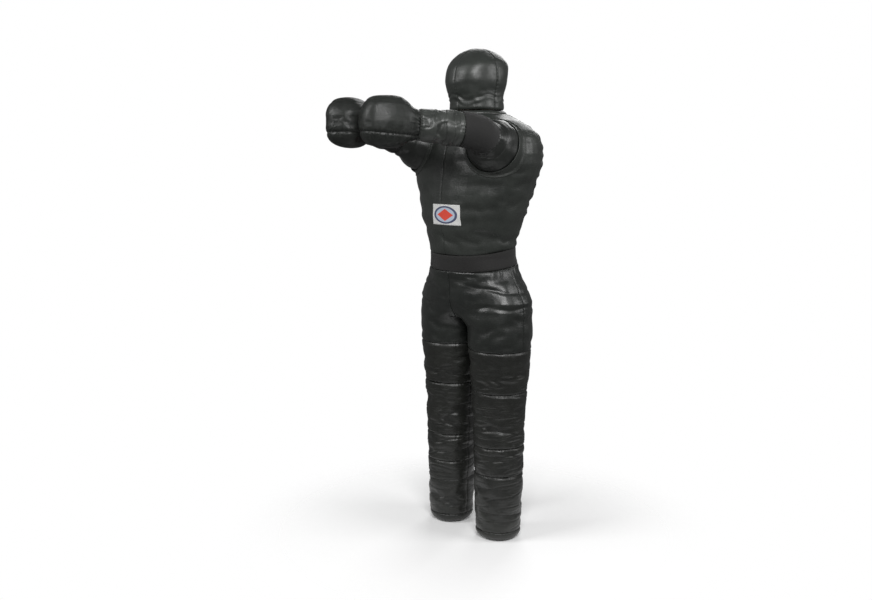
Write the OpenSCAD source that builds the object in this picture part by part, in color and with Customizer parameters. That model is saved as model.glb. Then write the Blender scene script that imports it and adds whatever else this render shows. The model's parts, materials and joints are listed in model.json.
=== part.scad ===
// Stuffed leather grappling dummy, standing with both arms held out in a hug.
// It faces -Y, its left hand is on +X, and its soles stand on Z = 0.

/* [Height] */
// Floor to crotch
leg_len = 808; // [670:1:970]
// Crotch to the middle of the waist band
hip_h = 229; // [190:1:280]
// Middle of the waist band to the neck seam
torso_h = 519; // [430:1:625]
// Neck seam to crown
head_h = 215; // [178:1:260]

/* [Trunk] */
// Width across the shoulders
shoulder_w = 540; // [450:1:650]
// Width across the ribs
rib_w = 400; // [330:1:480]
// Width of the waist
waist_w = 326; // [270:1:400]
// Width across the hips
hip_w = 484; // [404:1:560]
// Depth of the chest in front of the standing axis
chest_front = 175; // [145:1:210]
// Depth of the upper back behind the standing axis
chest_back = 174; // [145:1:208]
// Depth of the waist in front of the standing axis
waist_front = 155; // [128:1:186]
// Depth of the waist behind the standing axis
waist_back = 112; // [94:1:134]
// Depth of the hips to the front and to the back
hip_depth = 134; // [112:1:160]
// Height of the fabric waist band
waist_band_h = 60; // [40:1:75]
// Forward slope of the waist band, in degrees
waist_slope = 7; // [0:1:10]

/* [Head] */
// Width of the head
head_w = 208; // [170:1:250]
// Depth of the face in front of the standing axis
face_front = 116; // [96:1:140]
// Depth of the head behind the standing axis
head_back_d = 112; // [93:1:135]
// Radius of the neck
neck_r = 95; // [78:1:112]
// Height of the sewn neck band
neck_band_h = 12; // [6:1:20]

/* [Arms] */
// Radius of the armhole, inside its band
armhole_r = 94; // [78:1:100]
// Shoulder joint to elbow
upper_arm_len = 194; // [170:1:235]
// Elbow to wrist seam
forearm_len = 204; // [170:1:245]
// Length of the glove
glove_len = 186; // [155:1:224]
// Radius of the arm at the elbow
elbow_r = 58; // [48:1:64]
// Radius of the arm at the wrist
wrist_r = 51; // [42:1:60]
// Height of the glove
glove_h = 166; // [138:1:198]
// Width of the glove
glove_w = 138; // [114:1:160]
// Half length of the elbow band, along the arm
elbow_half = 56; // [50:1:68]
// Distance of each glove's middle from the middle of the body
glove_out = 89.9; // [75:0.1:120]

/* [Legs] */
// Distance between the axes of the two legs
leg_gap = 250; // [240:1:300]
// Radius of the thigh
thigh_r = 117; // [98:1:119]
// Radius of the knee
knee_r = 96; // [80:1:112]
// Radius of the ankle
ankle_r = 87; // [73:1:102]
// Radius of the flat part of the sole
sole_r = 52; // [40:1:60]
// Height of the sole cap
sole_cap_h = 36; // [26:1:44]
// Floor to the knee joint
knee_z = 455; // [370:1:520]
// Half length of the soft knee sleeve
knee_half = 100; // [98:1:120]
// Floor to the seam between the two thigh covers
thigh_seam_z = 710; // [620:1:740]
// Floor to the seam between shin and ankle covers
shin_seam_z = 250; // [200:1:290]

/* [Skin and stuffing] */
// Thickness of the leather
skin_t = 3; // [2:0.5:5]
// Thickness of the fabric bands
band_t = 2; // [1:0.5:3]
// Gap between leather and stuffing
fill_gap = 0.5; // [0.3:0.1:1]
// Gap between two leather panels at a seam
seam_gap = 0.4; // [0.2:0.1:1]
// Gap round a stuffing ball in its pocket
joint_gap = 3; // [2:0.5:5]

/* [Label] */
// Width of the sewn label
label_w = 126; // [90:1:150]
// Height of the sewn label
label_h = 72; // [50:1:86]

/* [Hidden] */

leather = [0.13, 0.14, 0.13];
fabric = [0.09, 0.08, 0.08];
fleece = [0.62, 0.60, 0.56];
label_white = [0.90, 0.90, 0.88];

// Heights of the hip joints over the crotch and of the neck joint over its seam
hip_joint_up = 83;
neck_joint_up = 12;

// Heights of the seams and joints
crotch_z = leg_len;
waist_z = crotch_z + hip_h;
neck_z = waist_z + torso_h;
crown_z = neck_z + head_h;
hip_joint_z = crotch_z + hip_joint_up;
neck_joint_z = neck_z + neck_joint_up;

// How far each joint bends, in degrees, which sets the cuts in the stuffing
hip_forward = 80;
hip_back = 20;
waist_forward = 50;
waist_back_bend = 16;
neck_bend = 26;
knee_bend = 88;

far = 900;
skin_in = skin_t + fill_gap;
round_n = 2.3;
box_n = 2.7;
trunk_sides = 44;
head_sides = 32;
glove_sides = 28;
fine = 96;

// Key sections of the trunk: height, half width, depth to the front, depth to the back
trunk_keys = [
    [crotch_z, hip_w / 2 - 2, hip_depth - 14, hip_depth - 8],
    [crotch_z + 0.33 * hip_h, hip_w / 2, hip_depth, hip_depth],
    [crotch_z + 0.67 * hip_h, hip_w / 2 - 46, hip_depth + 4, hip_depth - 10],
    [waist_z, waist_w / 2, waist_front, waist_back],
    [waist_z + 0.12 * torso_h, waist_w / 2 + 6, waist_front + 8, waist_back],
    [waist_z + 0.28 * torso_h, rib_w / 2, chest_front + 4, chest_back - 44],
    [waist_z + 0.48 * torso_h, rib_w / 2 + 34, chest_front, chest_back - 10],
    [waist_z + 0.64 * torso_h, shoulder_w / 2 - 6, chest_front - 12, chest_back],
    [waist_z + 0.77 * torso_h, shoulder_w / 2 - 2, chest_front - 26, chest_back - 8],
    [waist_z + 0.86 * torso_h, shoulder_w / 2 - 34, chest_front - 48, chest_back - 24],
    [waist_z + 0.93 * torso_h, shoulder_w / 2 - 98, chest_front - 66, chest_back - 52],
    [neck_z - neck_band_h, neck_r + 14, neck_r + 6, neck_r + 4],
    [neck_z, neck_r + 3, neck_r + 1, neck_r]
];

// Key sections of the head, from the neck seam to just under the crown
head_keys = [
    [neck_z, neck_r, neck_r, neck_r],
    [neck_z + 0.22 * head_h, neck_r - 2, neck_r + 3, neck_r - 5],
    [neck_z + 0.45 * head_h, head_w / 2, face_front, head_back_d - 10],
    [neck_z + 0.70 * head_h, head_w / 2 - 2, face_front - 14, head_back_d],
    [neck_z + 0.86 * head_h, head_w / 2 - 22, face_front - 42, head_back_d - 15],
    [neck_z + 0.96 * head_h, head_w / 2 - 54, face_front - 74, head_back_d - 52],
    [crown_z, 16, 14, 16]
];

// Radius of the leg at each height
leg_keys = [
    [sole_cap_h, ankle_r - 3], [shin_seam_z / 2 + 30, ankle_r + 2], [knee_z, knee_r],
    [knee_z + knee_half, knee_r + 6], [thigh_seam_z, thigh_r - 2], [thigh_seam_z + 50, thigh_r],
    [hip_joint_z - 35, thigh_r], [hip_joint_z + 5, 0.93 * thigh_r], [hip_joint_z + 40, 0.7 * thigh_r]
];

function unit(v) = v / norm(v);
function key_at(keys, i) = keys[min(max(i, 0), len(keys) - 1)];
function curve(a, b, c, d, t) =
    0.5 * (2 * b + (c - a) * t + (2 * a - 5 * b + 4 * c - d) * t * t
    + (3 * b - a - 3 * c + d) * t * t * t);
function sections(keys, steps) = concat(
    [for (i = [0 : len(keys) - 2]) for (j = [0 : steps - 1])
        curve(key_at(keys, i - 1), keys[i], keys[i + 1], key_at(keys, i + 2), j / steps)],
    [keys[len(keys) - 1]]
);
function squared(t, n) = sign(t) * pow(abs(t), 2 / n);
function section_ring(s, inset, n, sides) = [
    for (k = [0 : sides - 1])
        let (a = 360 * k / sides, side = squared(cos(a), n), depth = squared(sin(a), n))
        [(s[1] - inset) * side, ((depth < 0 ? s[2] : s[3]) - inset) * depth, s[0]]
];

least_step = 0.01;

// A closed smooth form through the key sections, drawn in on every side by inset
module form(keys, inset, n, sides, steps, top_drop = 0) {
    all_s = sections(keys, steps);
    last = len(all_s) - 1;
    widest = max([for (s = all_s) s[1]]);
    low = all_s[0][0];
    rings = [for (i = [0 : last]) let (s = all_s[i])
        section_ring([max(s[0] - top_drop * (1 - s[1] / widest), low + i * least_step), s[1], s[2], s[3]],
            inset, n, sides)];
    points = [for (r = rings) for (p = r) p];
    walls = [for (i = [0 : last - 1]) for (k = [0 : sides - 1])
        let (a = i * sides + k, b = i * sides + (k + 1) % sides)
        each [[a, a + sides, b], [b, a + sides, b + sides]]];
    bottom = [[for (k = [0 : sides - 1]) k]];
    top = [[for (k = [sides - 1 : -1 : 0]) last * sides + k]];
    polyhedron(points, concat(walls, bottom, top), convexity = 6);
}

// ---- cutting forms ----

// Everything above a plane through height z, tilted forward by slope degrees
module above(z, slope = 0) {
    translate([0, 0, z]) rotate([slope, 0, 0]) translate([-far, -far, 0]) cube([2 * far, 2 * far, 2 * far]);
}

// Everything below the same plane
module below(z, slope = 0) {
    translate([0, 0, z]) rotate([slope, 0, 0]) translate([-far, -far, -2 * far]) cube([2 * far, 2 * far, 2 * far]);
}

// The quarter of space that a panel fills, its side seam swung back by swing degrees
module quarter(left, front, swing) {
    g = seam_gap / 2;
    tip = far * tan(swing);
    outline = front ? [[g, -far], [far, -far], [far, tip - g], [g, g * tan(swing) - g]]
        : [[g, g * tan(swing) + g], [far, tip + g], [far, far], [g, far]];
    mirror([left ? 0 : 1, 0, 0]) translate([0, 0, -far]) linear_extrude(4 * far) polygon(outline);
}

// The space that a limb needs below a joint, to swing forward and back about X
module swing_space(z, forward, back) {
    translate([-far, 0, z]) rotate([90, 0, 90]) linear_extrude(2 * far)
        polygon([[0, 0], [-far, far * tan(forward / 2)], [-far, -far], [far, -far], [far, far * tan(back / 2)]]);
}

// The same space for the part above the joint
module upper_space(z, forward, back) {
    mirror([0, 0, 1]) swing_space(-z, forward, back);
}

module ball(r) { sphere(r, $fn = fine); }

// ---- trunk ----

side_swing = 18;
hip_ball_r = thigh_r - skin_in - 22;
waist_ball_r = min(waist_back, waist_front) - skin_in - 8;
neck_ball_r = neck_r - skin_in - 12;
shoulder_sink = 25;

module trunk(inset) {
    intersection() {
        form(trunk_keys, inset, round_n, trunk_sides, 2);
        above(crotch_z + inset);
    }
}

module trunk_shell() {
    difference() {
        trunk(0);
        trunk(skin_t);
    }
}

band_low = waist_z - waist_band_h / 2;
band_high = waist_z + waist_band_h / 2;

module torso_panel(left, front) {
    intersection() {
        difference() {
            trunk_shell();
            below(band_high + seam_gap, waist_slope);
            above(neck_z - neck_band_h - seam_gap);
            armhole_cut();
            mirror([1, 0, 0]) armhole_cut();
        }
        quarter(left, front, side_swing);
    }
}

module torso_front_left() { color(leather) torso_panel(true, true); }
module torso_front_right() { color(leather) torso_panel(false, true); }
module torso_back_left() { color(leather) torso_panel(true, false); }
module torso_back_right() { color(leather) torso_panel(false, false); }

module torso_stuffing() {
    color(fleece) difference() {
        trunk(skin_in);
        above(neck_z - neck_band_h - seam_gap);
        swing_space(waist_z, waist_forward, waist_back_bend);
        translate([0, 0, waist_z]) sphere(waist_ball_r + joint_gap, $fn = 48);
        translate([0, 0, neck_joint_z]) sphere(neck_ball_r + joint_gap, $fn = 48);
        shoulder_space();
        mirror([1, 0, 0]) shoulder_space();
    }
}

module neck_band() {
    color(leather) intersection() {
        trunk_shell();
        above(neck_z - neck_band_h);
        below(neck_z - seam_gap);
    }
}

module waist_band() {
    color(fabric) intersection() {
        difference() {
            trunk(skin_t - band_t);
            trunk(skin_t);
        }
        above(band_low, waist_slope);
        below(band_high, waist_slope);
    }
}

module label_patch() {
    color(label_white) intersection() {
        difference() {
            trunk(-1.6);
            trunk(-0.3);
        }
        translate([-label_w * 0.3, -far, waist_z + 0.3 * torso_h - label_h / 2])
            cube([label_w, far, label_h]);
    }
}

// ---- head ----

module head_form(inset) { form(head_keys, inset, round_n, head_sides, 2, inset); }

module head_shell() {
    difference() {
        head_form(0);
        head_form(skin_t);
        below(neck_z + seam_gap);
    }
}

module head_front(left) {
    color(leather) intersection() {
        head_shell();
        quarter(left, true, 0);
    }
}

module head_front_left() { head_front(true); }
module head_front_right() { head_front(false); }
module head_back() {
    color(leather) intersection() {
        head_shell();
        translate([-far, seam_gap / 2, 0]) cube([2 * far, far, 4 * far]);
    }
}

module head_stuffing() {
    color(fleece) union() {
        difference() {
            head_form(skin_in);
            upper_neck_cut();
        }
        intersection() {
            translate([0, 0, neck_joint_z]) sphere(neck_ball_r, $fn = 48);
            below(neck_joint_z + 40);
        }
    }
}

// The wedge left free under the head so that it can nod both ways
module upper_neck_cut() { swing_space(neck_joint_z + 2, neck_bend, neck_bend); }

// ---- hips ----

module leg_column(inset) {
    translate([leg_gap / 2, 0, 0]) rotate_extrude($fn = trunk_sides) polygon(concat(
        [[0, thigh_seam_z - 1]],
        [for (z = leg_heights(thigh_seam_z - 1, hip_joint_z + 40)) [lookup(z, leg_keys) - inset, z]],
        [[0, hip_joint_z + 40]]
    ));
}

module hip_form(inset) {
    trunk(inset);
    leg_column(inset);
    mirror([1, 0, 0]) leg_column(inset);
}

module hip_panel(left, front) {
    intersection() {
        difference() {
            hip_form(0);
            hip_form(skin_t);
            above(band_low - seam_gap, waist_slope);
            below(thigh_seam_z + seam_gap);
        }
        quarter(left, front, 0);
    }
}

module hip_front_left() { color(leather) hip_panel(true, true); }
module hip_front_right() { color(leather) hip_panel(false, true); }
module hip_back_left() { color(leather) hip_panel(true, false); }
module hip_back_right() { color(leather) hip_panel(false, false); }

module hip_stuffing() {
    color(fleece) union() {
        difference() {
            trunk(skin_in);
            swing_space(hip_joint_z, hip_forward, hip_back);
            upper_space(waist_z - 2, waist_forward, waist_back_bend);
            hip_pocket();
            mirror([1, 0, 0]) hip_pocket();
        }
        translate([0, 0, waist_z]) sphere(waist_ball_r, $fn = 48);
    }
}

module hip_pocket() {
    translate([leg_gap / 2, 0, hip_joint_z]) sphere(hip_ball_r + joint_gap, $fn = 48);
}

// ---- legs ----

function leg_heights(low, high) = concat([low], [for (k = leg_keys) if (k[0] > low && k[0] < high) k[0]], [high]);

// A round cover or core of the leg between two heights
module leg_tube(low, high, outer_in, inner_in) {
    heights = leg_heights(low, high);
    last = len(heights) - 1;
    translate([leg_gap / 2, 0, 0]) rotate_extrude($fn = fine) polygon(concat(
        [for (i = [0 : last]) [lookup(heights[i], leg_keys) - outer_in, heights[i]]],
        [for (i = [last : -1 : 0]) [lookup(heights[i], leg_keys) - inner_in, heights[i]]]
    ));
}

module leg_core(low, high) {
    heights = leg_heights(low, high);
    translate([leg_gap / 2, 0, 0]) rotate_extrude($fn = fine) polygon(concat(
        [[0, low]], [for (z = heights) [lookup(z, leg_keys) - skin_in, z]], [[0, high]]
    ));
}

module side(left) { mirror([left ? 0 : 1, 0, 0]) children(); }

module thigh_cover() {
    color(leather) leg_tube(knee_z + knee_half + seam_gap, thigh_seam_z - seam_gap, 0, skin_t);
}

module thigh_stuffing() {
    color(fleece) union() {
        difference() {
            leg_core(knee_z + knee_half, hip_joint_z + 40);
            upper_space(hip_joint_z - 2, hip_forward, hip_back);
        }
        translate([leg_gap / 2, 0, hip_joint_z]) ball(hip_ball_r);
    }
}

module knee_stuffing() {
    color(fleece) translate([leg_gap / 2, 0, knee_z]) ball(min(knee_r - skin_in - 1, knee_half - 2));
}

module knee_sleeve() { color(leather) leg_tube(knee_z - knee_half, knee_z + knee_half, 0, skin_t); }

module shin_cover() {
    color(leather) leg_tube(shin_seam_z + seam_gap, knee_z - knee_half - seam_gap, 0, skin_t);
}

module ankle_cover() {
    color(leather) leg_tube(sole_cap_h + seam_gap, shin_seam_z - seam_gap, 0, skin_t);
}

module shin_stuffing() {
    low = sole_cap_h + seam_gap;
    color(fleece) leg_core(low, knee_z - knee_half);
}

// The closed end of the leg: a flat sole with a round edge
module sole_cap() {
    top_r = lookup(sole_cap_h, leg_keys);
    edge = [for (a = [-90 : 15 : 0])
        [sole_r + (top_r - sole_r) * cos(a), sole_cap_h + sole_cap_h * sin(a)]];
    color(leather) translate([leg_gap / 2, 0, 0]) rotate_extrude($fn = fine)
        polygon(concat([[0, 0]], edge, [[0, sole_cap_h]]));
}

// ---- arms, modelled on the left ----

// Directions of the upper arm and of the forearm, from the shoulder outwards. The forearm
// turns in as far as brings its glove to its place in front of the body.
upper_dir = unit([0.355, -0.878, 0.33]);
shoulder_joint = [shoulder_w / 2 - 106, -chest_front * 0.35, waist_z + 0.727 * torso_h];
elbow_corner = shoulder_joint + upper_arm_len * upper_dir;
fore_rise = 0.0851;
fore_in = (elbow_corner[0] - glove_out) / (forearm_len + 0.6 * glove_len);
fore_dir = [-fore_in, -sqrt(1 - fore_in * fore_in - fore_rise * fore_rise), fore_rise];
bend_axis = unit(cross(upper_dir, fore_dir));
elbow_angle = acos(upper_dir * fore_dir);
bend_side = unit(cross(bend_axis, upper_dir));
bend_r = elbow_half / tan(elbow_angle / 2);
bend_centre = elbow_corner - elbow_half * upper_dir + bend_r * bend_side;
elbow_joint = bend_centre - bend_r * (cos(elbow_angle / 2) * bend_side - sin(elbow_angle / 2) * upper_dir);
arm_in = elbow_r - skin_in;
shoulder_ball_r = 64;
arm_neck_r = 40;
wrist = elbow_corner + forearm_len * fore_dir;

// Puts what follows at a point, with its Z along a direction and its Y as near to up as it goes
module along(point, dir) {
    side_v = unit(cross([0, 0, 1], dir));
    up_v = cross(dir, side_v);
    multmatrix([
        [side_v[0], up_v[0], dir[0], point[0]],
        [side_v[1], up_v[1], dir[1], point[1]],
        [side_v[2], up_v[2], dir[2], point[2]],
        [0, 0, 0, 1]
    ]) children();
}

module revolve(outline) { rotate_extrude($fn = fine) polygon(outline); }

// The armhole band reaches from just inside the trunk to well outside it
band_inner = shoulder_sink - 30;
band_outer = shoulder_sink + 24;
armhole_clear = 1;

module armhole_cut() {
    along(shoulder_joint, upper_dir) translate([0, 0, band_inner])
        cylinder(r = armhole_r + skin_t + armhole_clear, h = far, $fn = 64);
}

module shoulder_space() {
    along(shoulder_joint, upper_dir) {
        sphere(shoulder_ball_r + joint_gap, $fn = 48);
        translate([0, 0, band_inner])
            cylinder(r = armhole_r + skin_t + armhole_clear, h = far, $fn = 64);
    }
}

module armhole_band() {
    color(leather) along(shoulder_joint, upper_dir) revolve([
        [armhole_r, band_inner + 1], [armhole_r + skin_t, band_inner + 1],
        [armhole_r + skin_t, band_outer - 4], [armhole_r + skin_t - 1, band_outer],
        [armhole_r, band_outer]
    ]);
}

module shoulder_sleeve() {
    top = upper_arm_len - elbow_half - seam_gap;
    outer = [[armhole_r - 4, band_inner + 6], [armhole_r - 0.5, band_outer - 8], [armhole_r - 4, band_outer + 10],
        [elbow_r + 24, 0.63 * top], [elbow_r + 7, 0.84 * top], [elbow_r, top]];
    color(leather) along(shoulder_joint, upper_dir) revolve(concat(
        outer, [for (i = [len(outer) - 1 : -1 : 0]) outer[i] - [skin_t, 0]]
    ));
}

module upper_arm_stuffing() {
    top = upper_arm_len - elbow_half;
    neck_end = shoulder_ball_r - 2;
    color(fleece) along(shoulder_joint, upper_dir) union() {
        ball(shoulder_ball_r);
        revolve([[0, 0], [arm_neck_r, 0], [arm_neck_r, neck_end], [arm_in, neck_end + 14], [arm_in, top], [0, top]]);
    }
}

module elbow_frame() {
    multmatrix([
        [-bend_side[0], upper_dir[0], bend_axis[0], bend_centre[0]],
        [-bend_side[1], upper_dir[1], bend_axis[1], bend_centre[1]],
        [-bend_side[2], upper_dir[2], bend_axis[2], bend_centre[2]],
        [0, 0, 0, 1]
    ]) children();
}

module elbow_band() {
    color(fabric) elbow_frame() rotate_extrude(angle = elbow_angle, $fn = 4 * fine) translate([bend_r, 0])
        difference() {
            circle(elbow_r + 1, $fn = fine);
            circle(elbow_r + 1 - band_t, $fn = fine);
        }
}

module elbow_stuffing() {
    color(fleece) translate(elbow_joint) ball(min(elbow_r - band_t - 6, elbow_half * cos(elbow_angle / 2) - 2));
}

module forearm_cover() {
    low = elbow_half + seam_gap;
    high = forearm_len - seam_gap;
    color(leather) along(elbow_corner, fore_dir) revolve([
        [elbow_r, low], [elbow_r - 2, lerp(low, high, 0.5)], [wrist_r, high],
        [wrist_r - skin_t, high], [elbow_r - 2 - skin_t, lerp(low, high, 0.5)], [elbow_r - skin_t, low]
    ]);
}

module forearm_stuffing() {
    low = elbow_half;
    high = forearm_len - seam_gap;
    color(fleece) along(elbow_corner, fore_dir) revolve([
        [0, low], [arm_in, low], [arm_in - 2, lerp(low, high, 0.5)], [wrist_r - skin_in, high], [0, high]
    ]);
}

function lerp(a, b, t) = a + (b - a) * t;

// Key sections of the glove: distance from the wrist, half width, half height down and up
glove_keys = [
    [0, wrist_r - 1, wrist_r - 1, wrist_r - 1],
    [0.13 * glove_len, wrist_r + 4, wrist_r + 6, wrist_r + 8],
    [0.32 * glove_len, glove_w / 2 - 2, glove_h / 2 - 4, glove_h / 2],
    [0.60 * glove_len, glove_w / 2, glove_h / 2, glove_h / 2],
    [0.82 * glove_len, glove_w / 2 - 6, glove_h / 2 - 8, glove_h / 2 - 8],
    [0.95 * glove_len, glove_w / 2 - 26, glove_h / 2 - 30, glove_h / 2 - 32],
    [glove_len, 16, 18, 18]
];

module glove_form(inset) {
    along(wrist, fore_dir) intersection() {
        form(glove_keys, inset, box_n, glove_sides, 2, 0.7 * inset);
        translate([-far, -far, 0.2]) cube(2 * far);
    }
}

// The glove's skin is two panels, which meet below its middle
module glove_panel(back) {
    seam_y = -0.22 * glove_h;
    intersection() {
        difference() {
            glove_form(0);
            glove_form(skin_t);
        }
        along(wrist, fore_dir) translate([-far, back ? seam_y + seam_gap : seam_y - far, -far])
            cube([2 * far, far, 2 * far]);
    }
}

module glove_back() { color(leather) glove_panel(true); }
module glove_palm() { color(leather) glove_panel(false); }
module glove_stuffing() { color(fleece) glove_form(skin_in); }

// ---- the two sides ----

module left_armhole_band() { side(true) armhole_band(); }
module right_armhole_band() { side(false) armhole_band(); }
module left_shoulder_sleeve() { side(true) shoulder_sleeve(); }
module left_upper_arm_stuffing() { side(true) upper_arm_stuffing(); }
module left_elbow_stuffing() { side(true) elbow_stuffing(); }
module left_elbow_band() { side(true) elbow_band(); }
module left_forearm_cover() { side(true) forearm_cover(); }
module left_forearm_stuffing() { side(true) forearm_stuffing(); }
module left_glove_back() { side(true) glove_back(); }
module left_glove_palm() { side(true) glove_palm(); }
module left_glove_stuffing() { side(true) glove_stuffing(); }
module right_shoulder_sleeve() { side(false) shoulder_sleeve(); }
module right_upper_arm_stuffing() { side(false) upper_arm_stuffing(); }
module right_elbow_stuffing() { side(false) elbow_stuffing(); }
module right_elbow_band() { side(false) elbow_band(); }
module right_forearm_cover() { side(false) forearm_cover(); }
module right_forearm_stuffing() { side(false) forearm_stuffing(); }
module right_glove_back() { side(false) glove_back(); }
module right_glove_palm() { side(false) glove_palm(); }
module right_glove_stuffing() { side(false) glove_stuffing(); }
module left_thigh_cover() { side(true) thigh_cover(); }
module left_thigh_stuffing() { side(true) thigh_stuffing(); }
module left_knee_stuffing() { side(true) knee_stuffing(); }
module left_knee_sleeve() { side(true) knee_sleeve(); }
module left_shin_cover() { side(true) shin_cover(); }
module left_ankle_cover() { side(true) ankle_cover(); }
module left_shin_stuffing() { side(true) shin_stuffing(); }
module left_sole_cap() { side(true) sole_cap(); }
module right_thigh_cover() { side(false) thigh_cover(); }
module right_thigh_stuffing() { side(false) thigh_stuffing(); }
module right_knee_stuffing() { side(false) knee_stuffing(); }
module right_knee_sleeve() { side(false) knee_sleeve(); }
module right_shin_cover() { side(false) shin_cover(); }
module right_ankle_cover() { side(false) ankle_cover(); }
module right_shin_stuffing() { side(false) shin_stuffing(); }
module right_sole_cap() { side(false) sole_cap(); }

head_front_left();
head_front_right();
head_back();
head_stuffing();
neck_band();
torso_front_left();
torso_front_right();
torso_back_left();
torso_back_right();
torso_stuffing();
left_armhole_band();
right_armhole_band();
label_patch();
waist_band();
hip_front_left();
hip_front_right();
hip_back_left();
hip_back_right();
hip_stuffing();
left_shoulder_sleeve();
left_upper_arm_stuffing();
left_elbow_stuffing();
left_elbow_band();
left_forearm_cover();
left_forearm_stuffing();
left_glove_back();
left_glove_palm();
left_glove_stuffing();
right_shoulder_sleeve();
right_upper_arm_stuffing();
right_elbow_stuffing();
right_elbow_band();
right_forearm_cover();
right_forearm_stuffing();
right_glove_back();
right_glove_palm();
right_glove_stuffing();
left_thigh_cover();
left_thigh_stuffing();
left_knee_stuffing();
left_knee_sleeve();
left_shin_cover();
left_ankle_cover();
left_shin_stuffing();
left_sole_cap();
right_thigh_cover();
right_thigh_stuffing();
right_knee_stuffing();
right_knee_sleeve();
right_shin_cover();
right_ankle_cover();
right_shin_stuffing();
right_sole_cap();
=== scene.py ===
import json
from math import atan2, cos, pi, radians, sin, tan

import bpy
import numpy as np
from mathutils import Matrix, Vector, noise
from mathutils.bvhtree import BVHTree


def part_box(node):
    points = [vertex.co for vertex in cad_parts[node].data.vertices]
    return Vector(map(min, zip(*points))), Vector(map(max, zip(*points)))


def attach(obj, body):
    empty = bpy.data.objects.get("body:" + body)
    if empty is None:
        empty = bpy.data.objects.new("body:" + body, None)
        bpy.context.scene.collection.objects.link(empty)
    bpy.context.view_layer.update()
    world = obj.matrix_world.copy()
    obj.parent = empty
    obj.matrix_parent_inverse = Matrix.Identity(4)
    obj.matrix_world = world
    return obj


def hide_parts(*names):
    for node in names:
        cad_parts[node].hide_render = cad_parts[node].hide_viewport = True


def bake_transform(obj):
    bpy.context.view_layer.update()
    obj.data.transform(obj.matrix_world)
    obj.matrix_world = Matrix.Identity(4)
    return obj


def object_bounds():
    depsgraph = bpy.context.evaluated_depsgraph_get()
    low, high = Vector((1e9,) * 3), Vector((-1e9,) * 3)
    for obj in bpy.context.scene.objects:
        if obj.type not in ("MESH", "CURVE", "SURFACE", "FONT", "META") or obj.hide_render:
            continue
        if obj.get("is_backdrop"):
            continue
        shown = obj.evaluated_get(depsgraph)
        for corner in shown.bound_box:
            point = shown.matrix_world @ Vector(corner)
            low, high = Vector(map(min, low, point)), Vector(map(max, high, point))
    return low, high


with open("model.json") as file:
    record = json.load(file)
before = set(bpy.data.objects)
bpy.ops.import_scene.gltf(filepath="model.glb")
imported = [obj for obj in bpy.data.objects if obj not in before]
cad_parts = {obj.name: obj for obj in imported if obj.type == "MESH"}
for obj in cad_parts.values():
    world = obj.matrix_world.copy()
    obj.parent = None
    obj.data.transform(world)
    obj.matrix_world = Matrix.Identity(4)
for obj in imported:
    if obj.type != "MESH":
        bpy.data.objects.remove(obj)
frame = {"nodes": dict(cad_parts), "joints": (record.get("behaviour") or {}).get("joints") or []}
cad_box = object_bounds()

bpy.ops.object.select_all(action="DESELECT")
joint = {j["name"]: j for j in frame["joints"]}

# ---- The room ----
# The dummy stands on a pale seamless floor, under one wide softbox, with weaker ones
# round it and white walls on every side.

bpy.ops.object.camera_add(location=(2.469, -2.481, 1.413),
                          rotation=(radians(90 - 8.821), 0, radians(47.246)))
camera = bpy.context.object
camera.name = "camera"
camera.data.sensor_width = 36
camera.data.lens = 39.66
bpy.context.scene.camera = camera

bpy.ops.object.select_all(action="DESELECT")
bpy.ops.mesh.primitive_circle_add(vertices=96, radius=1.1, fill_type="NGON", location=(0, 0, 0))
floor = bpy.context.object
floor.name = "floor"
pale = bpy.data.materials.new("pale_floor")
pale.use_nodes = True
floor_shader = pale.node_tree.nodes["Principled BSDF"]
floor_shader.inputs["Base Color"].default_value = (0.93, 0.93, 0.93, 1)
floor_shader.inputs["Roughness"].default_value = 0.9
floor_place = pale.node_tree.nodes.new("ShaderNodeTexCoord")
from_middle = pale.node_tree.nodes.new("ShaderNodeVectorMath")
from_middle.operation = "LENGTH"
pale.node_tree.links.new(floor_place.outputs["Object"], from_middle.inputs[0])
fade = pale.node_tree.nodes.new("ShaderNodeMapRange")
fade.interpolation_type = "SMOOTHSTEP"
for socket, value in (("From Min", 0.3), ("From Max", 0.95), ("To Min", 1.0), ("To Max", 0.0)):
    fade.inputs[socket].default_value = value
pale.node_tree.links.new(from_middle.outputs["Value"], fade.inputs["Value"])
pale.node_tree.links.new(fade.outputs["Result"], floor_shader.inputs["Alpha"])
floor.data.materials.append(pale)
floor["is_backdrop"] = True

for name, place, size, power in (("softbox", (2.75, -2.3, 3.1), 1.7, 130),
                                 ("side_light", (2.9, 1.5, 2.3), 1.8, 50),
                                 ("front_light", (-1.3, -3.4, 3.0), 1.8, 80),
                                 ("back_light", (-2.0, 2.8, 3.2), 2.0, 50)):
    bpy.ops.object.light_add(type="AREA", location=place)
    lamp = bpy.context.object
    lamp.name = name
    lamp.data.size = size
    lamp.data.energy = power
    lamp.rotation_euler = (Vector((0, 0, 1.0)) - Vector(place)).to_track_quat("-Z", "Y").to_euler()
world = bpy.data.worlds.new("white_room")
world.use_nodes = True
world_nodes = world.node_tree.nodes
backdrop = world_nodes["Background"]
backdrop.inputs["Color"].default_value = (1, 1, 1, 1)
backdrop.inputs["Strength"].default_value = 1.0
walls = world_nodes.new("ShaderNodeBackground")
walls.inputs["Color"].default_value = (1, 1, 1, 1)
walls.inputs["Strength"].default_value = 0.16
light_path = world_nodes.new("ShaderNodeLightPath")
either = world_nodes.new("ShaderNodeMixShader")
world.node_tree.links.new(light_path.outputs["Is Camera Ray"], either.inputs[0])
world.node_tree.links.new(walls.outputs[0], either.inputs[1])
world.node_tree.links.new(backdrop.outputs[0], either.inputs[2])
world.node_tree.links.new(either.outputs[0], world_nodes["World Output"].inputs["Surface"])
bpy.context.scene.world = world
bpy.context.scene.view_settings.view_transform = "Standard"

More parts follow.
